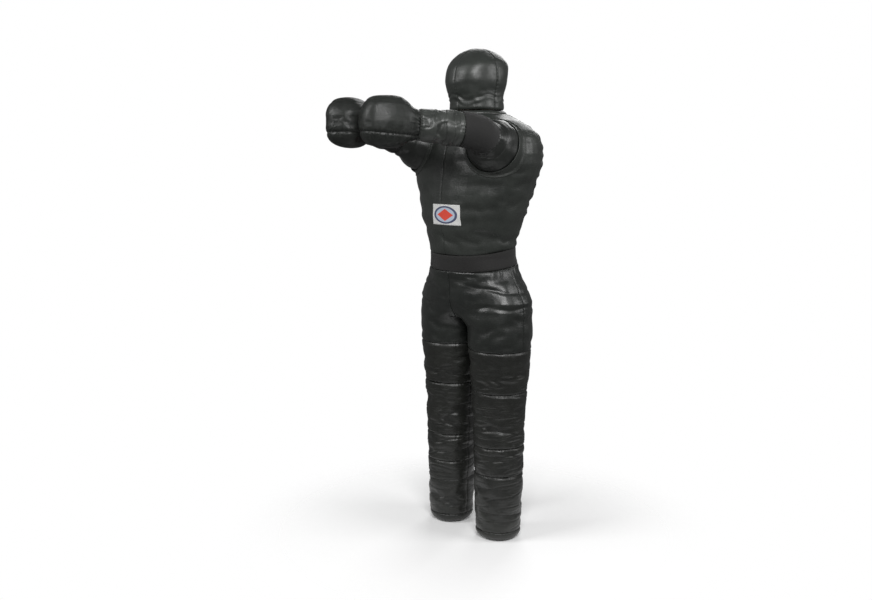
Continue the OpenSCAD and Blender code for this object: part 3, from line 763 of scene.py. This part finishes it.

# ---- The legs ----
# Four round covers to a leg, sewn end to end, and a rounded sole. The weight of the filling
# shortens them, so that the leather lies in shallow level wrinkles all the way down.

# Painted shade: the trunk's black leather again, made darker still for the legs, as shade below the light
# from above.
shaded_leg_leather = leather_finish("shaded_leg_leather", (0.0050, 0.0056, 0.0044), (0.0100, 0.0107, 0.0085), 0.44)
sole_flat = 0.052
sole_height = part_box("left_sole_cap")[1].z
sole_radius = (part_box("left_sole_cap")[1].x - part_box("left_sole_cap")[0].x) / 2
leg_marks = [sole_height] + [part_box(n)[1].z for n in ("left_ankle_cover", "left_shin_cover",
                                                     "left_knee_sleeve", "left_thigh_cover")]
leg_round = 100
for side, name in ((1, "left"), (-1, "right")):
    heights, marks = spread(leg_marks, 0.0058)
    stations = [(Vector((side * leg_x, 0, z)), up, front, 0) for z in heights]
    covers = ("ankle_cover", "shin_cover", "knee_sleeve", "thigh_cover")
    skin = outer_skin(*(f"{name}_{part}" for part in covers))
    reach, out = measured(skin, stations, leg_round, reach=0.118)
    reach = patched(reach)
    wall_rings = np.array([s[0] for s in stations])[:, None] + out * reach[..., None]
    profile = [(r, 0.0) for r in np.linspace(0.004, sole_flat, 9)]
    profile += [(sole_flat + (sole_radius - sole_flat) * sin(a), sole_height * (1 - cos(a)))
                for a in np.linspace(0, pi / 2, 10)[1:-1]]
    sole_rings = np.array([[[side * leg_x + r * v[0], r * v[1], z] for v in out[0]] for r, z in profile])
    leg = np.concatenate([sole_rings, wall_rings])
    under = len(profile)
    marks = [m + under for m in marks]
    middles = np.zeros((len(leg), 1, 3))
    middles[:, 0, 0] = side * leg_x
    middles[:, 0, 2] = np.maximum(leg[:, 0, 2], sole_height)
    held = np.zeros(leg.shape[:2], bool)
    held[marks] = True
    held[:9] = True
    leg, fold = settled(leg, middles, held, 0.024, 31.0 + 5 * side, limit=0.005)
    leg[:9, :, 2] = 0
    leg, fold = finer(leg), finer(fold)
    marks = [2 * m for m in marks]
    around = 2 * leg_round
    # level wrinkles, each running part of the way round
    shape = ripples(leg, (0.16, 0.16, 0.030), 40.0 + side)
    fine_shape = ripples(leg, (0.09, 0.09, 0.012), 60.0 + side)
    crease = -0.0020 * np.exp(-(shape / 0.06) ** 2) - 0.0007 * np.exp(-(fine_shape / 0.10) ** 2)
    above_sole = np.clip((leg[..., 2] - 0.02) / 0.03, 0, 1)
    below_thigh = np.clip(1 - (leg[..., 2] - 0.55) / 0.1, 0, 1)
    crease *= above_sole * (0.4 + 0.6 * below_thigh)
    leg = leg + outward(leg) * crease[..., None]
    leg, draw = sewn(leg, rows=marks, depth=0.0034, width=0.0045, pucker=0.0008, pitch=0.013)
    inner_col = (1 if side < 0 else 3) * around // 4
    leg, inseam = sewn(leg, cols=((inner_col, marks[0], marks[3]),),
                       depth=0.0018, width=0.003, pucker=0.0003)
    fold = fold + crease + draw + inseam
    leg[..., 2] = np.maximum(leg[..., 2], 0)
    leg[0] = leg[0].mean(0)
    pieces = (("sole_cap", 0, marks[0]), ("ankle_cover", marks[0], marks[1]),
              ("shin_cover", marks[1], marks[2]), ("knee_sleeve", marks[2], marks[3]),
              ("thigh_cover", marks[3], marks[4]))
    for part, low, high in pieces:
        piece = sewn_piece(f"{name}_{part}_leather", leg[low:high + 1], shaded_leg_leather, fold[low:high + 1])
        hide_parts(f"{name}_{part}")
        if part == "knee_sleeve":
            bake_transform(piece)
        else:
            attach(piece, f"{name}_thigh" if part == "thigh_cover" else f"{name}_shin")
    for part, low, high, body in (("shin_fleece", 0, marks[2], "shin"),
                                  ("thigh_fleece", marks[3], marks[4], "thigh")):
        piece = stuffing(f"{name}_{part}", leg[low:high + 1:2, ::2])
        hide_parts(f"{name}_{part.replace('fleece', 'stuffing')}")
        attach(piece, f"{name}_{body}")
    piece = stuffing(f"{name}_knee_fleece", leg[marks[2]:marks[3] + 1:2, ::2])
    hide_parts(f"{name}_knee_stuffing")
    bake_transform(piece)


# ---- The arms ----
# A wide sleeve set into the armhole, a soft webbing band at the elbow, a forearm tube and a
# closed mitten, each a tube of leather turned inside out, stuffed and sewn to the next.

# Painted shade and light: the trunk's black leather again, made darker for the sleeves, and lighter for the
# forearms and mittens, whose upper faces catch the light from above.
sleeve_leather = leather_finish("sleeve_leather", (0.0070, 0.0082, 0.0072), (0.0125, 0.0142, 0.0125), 0.40)
arm_leather = leather_finish("arm_leather", (0.026, 0.029, 0.026), (0.042, 0.046, 0.042), 0.42)
elbow_webbing = webbing_finish("elbow_webbing", (0.0085, 0.0082, 0.0080), 150)
fore_dir = Vector((-0.452, -0.887, 0.085)).normalized()
elbow = Vector(joint["left_elbow_bend"]["pos_m"])
elbow_angle = arm_dir.angle(fore_dir)
bend_axis = arm_dir.cross(fore_dir).normalized()
bend_side = bend_axis.cross(arm_dir).normalized()
elbow_half = 0.056
bend_radius = elbow_half / tan(elbow_angle / 2)
bend_centre = elbow + bend_radius * (cos(elbow_angle / 2) * bend_side - sin(elbow_angle / 2) * arm_dir)
elbow_corner = bend_centre + elbow_half * arm_dir - bend_radius * bend_side
upper_len = (elbow_corner - shoulder).length
forearm_len, glove_len, glove_height = 0.204, 0.186, 0.166
wrist = elbow_corner + forearm_len * fore_dir
glove_up = fore_dir.cross(up.cross(fore_dir).normalized())
arm_round = 100


def tube(nodes, stations, smooth=2):
    """The outside of one length of the left arm, and the middle of each of its rings."""
    reach, out = measured(outer_skin(*nodes), stations, arm_round, reach=0.16)
    middles = np.array([s[0] for s in stations])[:, None]
    return middles + out * softened(patched(reach), smooth)[..., None], middles


def tube_ripples(rings, length, around, shift):
    """Noise on a tube, with swells of that length along it and that size round it."""
    rows, cols = rings.shape[:2]
    turn = 2 * pi * np.arange(cols) / cols
    along = np.cumsum(np.linalg.norm(np.diff(rings.mean(1), axis=0, prepend=rings[:1].mean(1)), axis=1))
    local = np.stack([np.broadcast_to(part, (rows, cols)) for part in
                      (np.cos(turn) * 0.07, np.sin(turn) * 0.07, along[:, None])], -1)
    return ripples(local, (around, around, length), shift), along[:, None]


def arm_station(place, along, tilt=0):
    return (place, along, -bend_axis, tilt)


sleeve_lengths, _ = spread((0.016, upper_len - elbow_half), 0.0048)
sleeve_left, sleeve_middles = tube(["left_shoulder_sleeve"],
                                   [arm_station(shoulder + t * arm_dir, arm_dir) for t in sleeve_lengths], 6)
bend_steps, _ = spread((0, elbow_angle), 0.030)
elbow_stations = [arm_station(bend_centre - bend_radius * (cos(a) * bend_side - sin(a) * arm_dir),
                              cos(a) * arm_dir + sin(a) * bend_side) for a in bend_steps]
elbow_left, _ = tube(["left_elbow_band"], elbow_stations)
forearm_lengths, _ = spread((elbow_half, forearm_len), 0.0045)
forearm_stations = [arm_station(elbow_corner + t * fore_dir, fore_dir) for t in forearm_lengths]
forearm_left, forearm_middles = tube(["left_forearm_cover"], forearm_stations, 4)
palm_middle = 0.10
glove_lengths, _ = spread((0.0, palm_middle), 0.0045)
glove_tilts, _ = spread((0, radians(88)), radians(3.2))
glove_stations = [arm_station(wrist + t * fore_dir, fore_dir) for t in glove_lengths]
glove_stations += [arm_station(wrist + palm_middle * fore_dir, fore_dir, t) for t in glove_tilts[1:]]
glove_left, glove_middles = tube(["left_glove_back", "left_glove_palm"], glove_stations)

for side, name in ((1, "left"), (-1, "right")):
    def place(point):
        return Vector((side * point.x, point.y, point.z))

    shift = 70.0 + 9 * side
    # sleeve
    sleeve, middles = on_side(sleeve_left, side), sleeve_middles * [side, 1, 1]
    held = np.zeros(sleeve.shape[:2], bool)
    held[[0, 1, 2, 3, -1]] = True
    sleeve, fold = settled(sleeve, middles, held, 0.02, shift, limit=0.004)
    sleeve, fold = finer(sleeve), finer(fold)
    swell, along = tube_ripples(sleeve, 0.16, 0.026, shift)
    root = np.exp(-((along - 0.046) / 0.022) ** 2)
    gathers = 0.0022 * swell * root * 2
    cross, _ = tube_ripples(sleeve, 0.024, 0.12, shift + 3)
    crease = -0.0018 * np.exp(-(cross / 0.09) ** 2) * np.clip((along - 0.05) / 0.03, 0, 1)
    sleeve = sleeve + outward(sleeve) * (gathers + crease)[..., None]
    sleeve, draw = sewn(sleeve, rows=(len(sleeve) - 1,), depth=0.0025, pucker=0.0006)
    piece = sewn_piece(f"{name}_sleeve_leather", sleeve, sleeve_leather, fold + gathers + crease + draw)
    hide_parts(f"{name}_shoulder_sleeve")
    shoulder_bend = {"start": place(shoulder + 0.035 * arm_dir), "end": place(shoulder + 0.125 * arm_dir)}
    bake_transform(piece)
    piece = stuffing(f"{name}_sleeve_fleece", sleeve[::2, ::2])
    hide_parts(f"{name}_upper_arm_stuffing")
    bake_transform(piece)

    # elbow band
    sleeve_end = place(elbow_corner - elbow_half * arm_dir)
    forearm_start = place(elbow_corner + elbow_half * fore_dir)
    elbow_bend = {"start": sleeve_end.lerp(forearm_start, 0.27), "end": sleeve_end.lerp(forearm_start, 0.73)}
    bend = finer(on_side(elbow_left, side))
    soft, _ = tube_ripples(bend, 0.03, 0.09, shift + 5)
    rows_across = np.linspace(-1, 1, len(bend))[:, None]
    soft = 0.0028 * soft - 0.0014 * np.abs(rows_across) ** 8
    bend = bend + outward(bend) * soft[..., None]
    piece = sewn_piece(f"{name}_elbow_webbing", bend, elbow_webbing, soft, wall=0.002)
    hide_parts(f"{name}_elbow_band")
    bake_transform(piece)
    piece = stuffing(f"{name}_elbow_fleece", bend[::2, ::2], depth=0.005)
    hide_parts(f"{name}_elbow_stuffing")
    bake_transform(piece)

    # forearm
    forearm, middles = on_side(forearm_left, side), forearm_middles * [side, 1, 1]
    held = np.zeros(forearm.shape[:2], bool)
    held[[0, -1]] = True
    forearm, fold = settled(forearm, middles, held, 0.03, shift + 1, limit=0.004)
    forearm, fold = finer(forearm), finer(fold)
    cross, along = tube_ripples(forearm, 0.022, 0.10, shift + 4)
    crease = -0.0026 * np.exp(-(cross / 0.09) ** 2)
    crease *= np.clip(along / 0.02, 0, 1) * np.clip((along[-1] - along) / 0.02, 0, 1)
    forearm = forearm + outward(forearm) * crease[..., None]
    forearm, draw = sewn(forearm, rows=(0,), depth=0.0025, pucker=0.0005)
    forearm, cuff = sewn(forearm, rows=(len(forearm) - 1,), depth=0.004, width=0.006,
                         pucker=0.0016, pitch=0.0125)
    piece = sewn_piece(f"{name}_forearm_leather", forearm, arm_leather, fold + crease + draw + cuff)
    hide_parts(f"{name}_forearm_cover")
    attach(piece, f"{name}_forearm")
    piece = stuffing(f"{name}_forearm_fleece", forearm[::2, ::2])
    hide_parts(f"{name}_forearm_stuffing")
    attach(piece, f"{name}_forearm")

    # mitten
    glove, middles = on_side(glove_left, side), glove_middles * [side, 1, 1]
    seam_point = wrist - 0.22 * glove_height * glove_up
    lift = (glove - np.array(place(seam_point))) @ np.array(place(glove_up))
    held = np.abs(lift) < 0.0028
    held[[0, -1]] = True
    glove, fold = settled(glove, middles, held, 0.02, shift + 2, limit=0.004)
    glove, fold = finer(glove), finer(fold)
    lift = (glove - np.array(place(seam_point))) @ np.array(place(glove_up))
    from_wrist = glove - np.array(place(wrist))
    reach_out = from_wrist @ np.array(place(fore_dir))
    run = reach_out + np.abs(from_wrist @ np.array(place(up.cross(fore_dir).normalized())))
    beside = np.exp(-np.abs(lift) / 0.012) * np.clip(reach_out / 0.02, 0, 1)
    wave = 2 * pi * run / 0.015 + 9 * ripples(glove, (0.04, 0.04, 0.04), shift)
    tuck = -0.0032 * np.exp(-(lift / 0.004) ** 2) + 0.0008 * beside * np.cos(wave)
    top_edge = lift - 0.098
    tuck -= 0.0012 * np.exp(-(top_edge / 0.003) ** 2) * np.clip((reach_out - 0.02) / 0.03, 0, 1)
    glove = glove + outward(glove) * tuck[..., None]
    glove, draw = sewn(glove, rows=(0,), depth=0.004, width=0.006, pucker=0.0018, pitch=0.0125)
    glove[-1] = glove[-1].mean(0)
    for part, direction in (("back", glove_up), ("palm", -glove_up)):
        piece = sewn_piece(f"{name}_mitten_{part}", glove, arm_leather, fold + tuck + draw,
                           trim=(place(seam_point), place(direction)))
        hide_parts(f"{name}_glove_{part}")
        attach(piece, f"{name}_forearm")
    piece = stuffing(f"{name}_mitten_fleece", glove[:-1:2, ::2])
    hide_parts(f"{name}_glove_stuffing")
    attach(piece, f"{name}_forearm")

# ---- The armholes ----
# A leather binding stitched down round each armhole in two rows, which turns up against
# the sleeve.


def thread_finish(name, colour):
    """Waxed thread."""
    material, shader, add, join = nodes_of(name)
    place = add("TexCoord")
    twist = add("TexNoise", Scale=900, Detail=2)
    join(place, "Object", twist, "Vector")
    tone = add("ValToRGB")
    tone.color_ramp.elements[0].color = (*[c * 0.7 for c in colour], 1)
    tone.color_ramp.elements[1].color = (*[c * 1.2 for c in colour], 1)
    join(twist, "Fac", tone, "Fac")
    join(tone, "Color", shader, "Base Color")
    shader.inputs["Roughness"].default_value = 0.5
    return material


dark_thread = thread_finish("black_thread", (0.03, 0.03, 0.028))


def stitches(name, path, normals, material, pitch=0.0075, long=0.0048, thick=0.00055, closed=True):
    """A row of stitches along a path, each a short rounded bar that dips at both ends."""
    path, normals = np.array(path), np.array(normals)
    if closed:
        path, normals = np.vstack([path, path[:1]]), np.vstack([normals, normals[:1]])
    lengths = np.concatenate([[0], np.cumsum(np.linalg.norm(np.diff(path, axis=0), axis=1))])
    count = max(1, int(lengths[-1] / pitch))

    def at(values, t):
        return np.stack([np.interp(t, lengths, values[:, k]) for k in range(3)], -1)

    points, faces = [], []
    for k in range(count):
        middle = lengths[-1] * (k + 0.5) / count
        normal = Vector(at(normals, middle)).normalized()
        start, end = max(middle - long / 2, 0), min(middle + long / 2, lengths[-1])
        ahead = Vector(at(path, end) - at(path, start)).normalized()
        across = ahead.cross(normal).normalized()
        centre = Vector(at(path, middle))
        first = len(points)
        for t, size, dip in ((-0.5, 0.35, -0.8), (-0.3, 0.95, 0.15), (0.3, 0.95, 0.15), (0.5, 0.35, -0.8)):
            for q in range(6):
                a = 2 * pi * q / 6
                lift, aside = thick * (dip + size * sin(a)), thick * 1.25 * size * cos(a)
                points.append(centre + ahead * (t * long) + normal * lift + across * aside)
        for ring in range(3):
            for q in range(6):
                a, b = first + ring * 6 + q, first + ring * 6 + (q + 1) % 6
                faces.append((a, b, b + 6, a + 6))
        faces += [tuple(range(first + 5, first - 1, -1)), tuple(range(first + 18, first + 24))]
    mesh = bpy.data.meshes.new(name)
    mesh.from_pydata(points, [], faces)
    mesh.materials.append(material)
    mesh.shade_smooth()
    piece = bpy.data.objects.new(name, mesh)
    bpy.context.scene.collection.objects.link(piece)
    select_only(piece)
    bpy.ops.object.mode_set(mode="EDIT")
    bpy.ops.mesh.select_all(action="SELECT")
    bpy.ops.mesh.normals_make_consistent(inside=False)
    bpy.ops.object.mode_set(mode="OBJECT")
    return piece


trunk_surface = BVHTree.FromPolygons(trunk.reshape(-1, 3).tolist(), ring_faces(*trunk.shape[:2]).tolist())
binding_round = 144
for side, name in ((1, "left"), (-1, "right")):
    axis = Vector((side * arm_dir.x, arm_dir.y, arm_dir.z))
    origin = Vector((side * shoulder.x, shoulder.y, shoulder.z))
    first = axis.cross(up).normalized()
    second = axis.cross(first)
    on_trunk = np.zeros((3, binding_round, 3))
    lifts = np.zeros((3, binding_round))
    for k, radius in enumerate((0.1075, 0.1015, 0.0985)):
        for col in range(binding_round):
            turn = 2 * pi * col / binding_round
            foot = origin + (first * cos(turn) + second * sin(turn)) * radius
            hit = trunk_surface.ray_cast(foot + axis * 0.09, -axis, 0.16)
            on_trunk[k, col] = hit[0] if hit[0] is not None else foot + axis * 0.02
            lifts[k, col] = (Vector(on_trunk[k, col]) - origin).dot(axis)
    lifts = softened(lifts, 3)
    turn = 2 * pi * np.arange(binding_round) / binding_round
    round_out = np.array(first) * np.cos(turn)[:, None] + np.array(second) * np.sin(turn)[:, None]
    top = np.maximum(0.047, lifts[2] + 0.0065)
    # its outline, from the outer edge over to the inside: radius, and height along the arm
    outline = ((0.1080, lifts[0] - 0.001), (0.1070, lifts[0] + 0.0014), (0.1030, lifts[1] + 0.0022),
               (0.0990, lifts[2] + 0.0038), (0.0972, 0.5 * (lifts[2] + top) + 0.002),
               (0.0962, top - 0.002), (0.0948, top), (0.0932, top - 0.0015), (0.0925, top - 0.010))
    outline = finer(finer(np.array([np.array(origin) + round_out * radius + np.array(axis) * height[:, None]
                                    for radius, height in outline])))
    binding = softened(outline, 1)
    binding[0] = outline[0]
    normal = outward(binding)
    piece = sewn_piece(f"{name}_armhole_binding", binding, leather, wall=0.0016)
    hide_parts(f"{name}_armhole_band")
    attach(piece, "torso")
    for row, label in ((5, "outer"), (11, "inner")):
        piece = stitches(f"{name}_armhole_stitches_{label}", binding[row] + normal[row] * 0.0003,
                         normal[row], dark_thread)
        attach(piece, "torso")

# ---- The label ----
# A plain white patch of coated cloth, stitched to the lower chest along its edges, printed
# with a ring and a lozenge.

patch_low, patch_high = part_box("label_patch")
patch_material, shader, add, join = nodes_of("label_cloth")
place_node = add("UVMap")
place_node.uv_map = "cut"
centred = add("Mapping")
print_share = 0.88      # of the patch, which the print fills
half = (patch_high - patch_low) / 2
centred.inputs["Scale"].default_value = (1 / (half.x * print_share), 1 / (half.z * print_share), 0)
centred.inputs["Location"].default_value = (-1 / print_share, -1 / print_share, 0)
join(place_node, "UV", centred, "Vector")
oval = add("VectorMath", operation="LENGTH")
join(centred, "Vector", oval, 0)
print_ring = add("ValToRGB")
ramp = print_ring.color_ramp
ramp.interpolation = "CONSTANT"
ramp.elements[0].position, ramp.elements[0].color = 0.0, (0.40, 0.46, 0.55, 1)
ramp.elements[1].position, ramp.elements[1].color = 0.80, (0.06, 0.07, 0.13, 1)
ramp.elements.new(0.98).color = (0.60, 0.60, 0.59, 1)
join(oval, "Value", print_ring, "Fac")
apart = add("SeparateXYZ")
join(centred, "Vector", apart, "Vector")
lozenge = add("Math", operation="ADD")
for socket, axis_name in enumerate("XY"):
    from_middle = add("Math", operation="ABSOLUTE")
    join(apart, axis_name, from_middle, 0)
    join(from_middle, 0, lozenge, socket)
inside = add("Math", operation="LESS_THAN")
inside.inputs[1].default_value = 0.68
join(lozenge, 0, inside, 0)
printed = add("Mix", data_type="RGBA")
join(inside, 0, printed, 0)
join(print_ring, "Color", printed, 6)
printed.inputs[7].default_value = (0.62, 0.06, 0.035, 1)
join(printed, 2, shader, "Base Color")
threads = add("TexNoise", Scale=1400, Detail=2)
join(place_node, "UV", threads, "Vector")
cloth_grain = add("Bump", Strength=0.25, Distance=0.0004)
join(threads, "Fac", cloth_grain, "Height")
join(cloth_grain, "Normal", shader, "Normal")
shader.inputs["Roughness"].default_value = 0.5

wide, tall = 64, 38
patch = np.zeros((tall, wide, 3))
for row in range(tall):
    for col in range(wide):
        x = patch_low.x + (patch_high.x - patch_low.x) * col / (wide - 1)
        z = patch_low.z + (patch_high.z - patch_low.z) * row / (tall - 1)
        patch[row, col] = trunk_surface.ray_cast(Vector((x, -0.5, z)), Vector((0, 1, 0)))[0]
patch[..., 1] = softened(patch[..., 1], 12, closed=False)
patch[..., 1] -= 0.0022
from_sides = np.minimum(np.arange(wide), np.arange(wide)[::-1])
from_ends = np.minimum(np.arange(tall), np.arange(tall)[::-1])
edge = np.minimum(from_sides[None], from_ends[:, None])
patch[..., 1] += 0.0010 * np.exp(-edge / 1.2) + 0.0006 * ripples(patch, (0.02, 0.02, 0.02), 8.0)
piece = sewn_piece("label_cloth_patch", patch, patch_material, closed=False, wall=0.001)
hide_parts("label_patch")
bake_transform(piece)
inset = 2
last_col, last_row = wide - 1 - inset, tall - 1 - inset
border = [patch[inset, c] for c in range(inset, last_col + 1)]
border += [patch[r, last_col] for r in range(inset, last_row + 1)]
border += [patch[last_row, c] for c in range(last_col, inset, -1)]
border += [patch[r, inset] for r in range(last_row, inset, -1)]
pale_thread = thread_finish("white_thread", (0.6, 0.6, 0.58))
facing = np.tile([0, -1.0, 0], (len(border), 1))
piece = stitches("label_stitches", np.array(border) - [0, 0.0002, 0], facing, pale_thread,
                 pitch=0.0045, long=0.003, thick=0.0004)
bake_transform(piece)

size = {"cad": [list(c) for c in cad_box], "visual": [list(c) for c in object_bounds()]}
